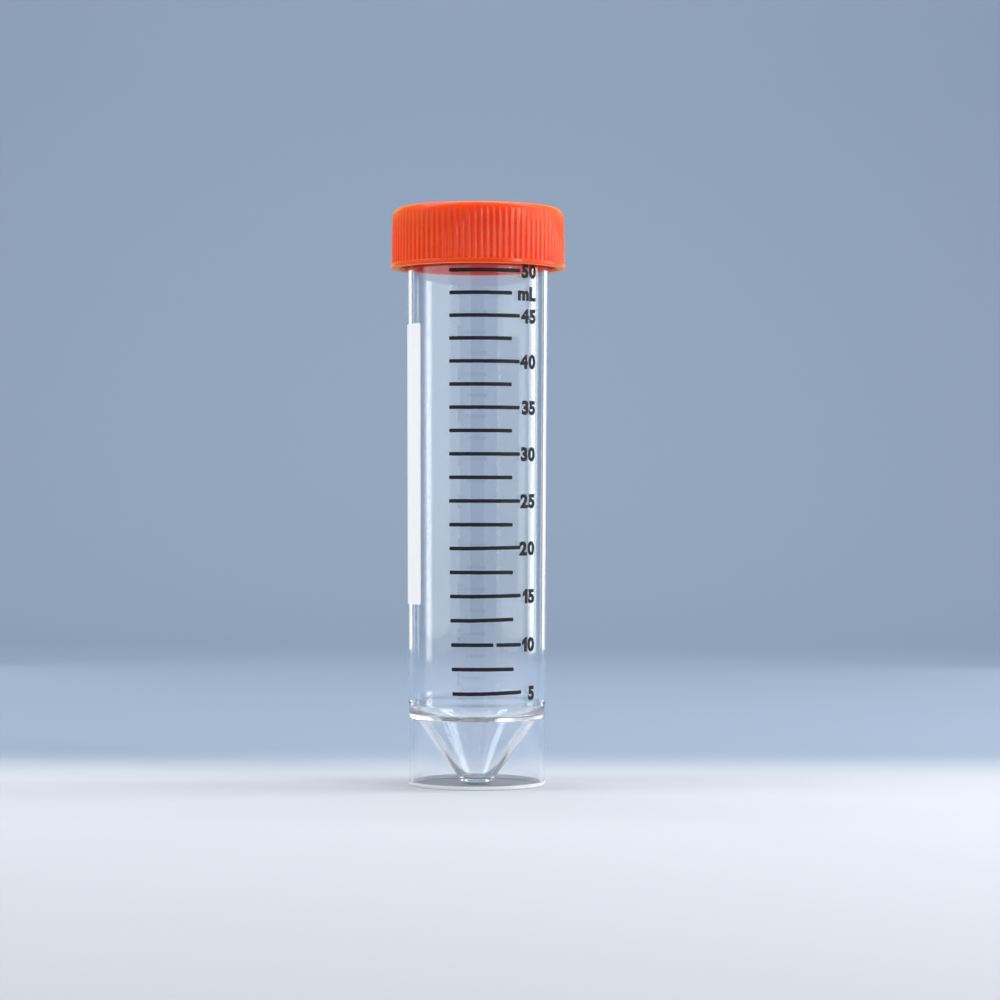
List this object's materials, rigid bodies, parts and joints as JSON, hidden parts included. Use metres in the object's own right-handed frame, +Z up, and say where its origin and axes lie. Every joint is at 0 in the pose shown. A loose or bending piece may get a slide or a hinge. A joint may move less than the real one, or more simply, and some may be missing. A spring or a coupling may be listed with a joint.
{
  "type": "50 ml conical tube",
  "caption": "Self-standing clear conical-bottom laboratory tube with a skirt, printed graduations and a ribbed plug-seal screw cap.",
  "frame": {"origin": "centre of the face that the skirt stands on", "axes": "+Z up along the tube's axis, from the standing face to the cap; -Y is the side with the graduations; +X is to the right of someone who reads them"},
  "size_m": [0.0354, 0.0354, 0.1166],
  "materials": {
    "clear_plastic": "clear, smooth and glossy",
    "cap_plastic": "satin orange",
    "black_ink": "printed ink",
    "white_ink": "matt printed writing panel"
  },
  "bodies": {
    "tube": {"tube": "clear_plastic"},
    "cap": {"cap": "cap_plastic"}
  },
  "joints": [
    {"name": "cap_lift", "type": "slide", "parent": "tube", "child": "cap", "axis": [0, 0, 1], "range_m": [0, 0.03]}
  ]
}
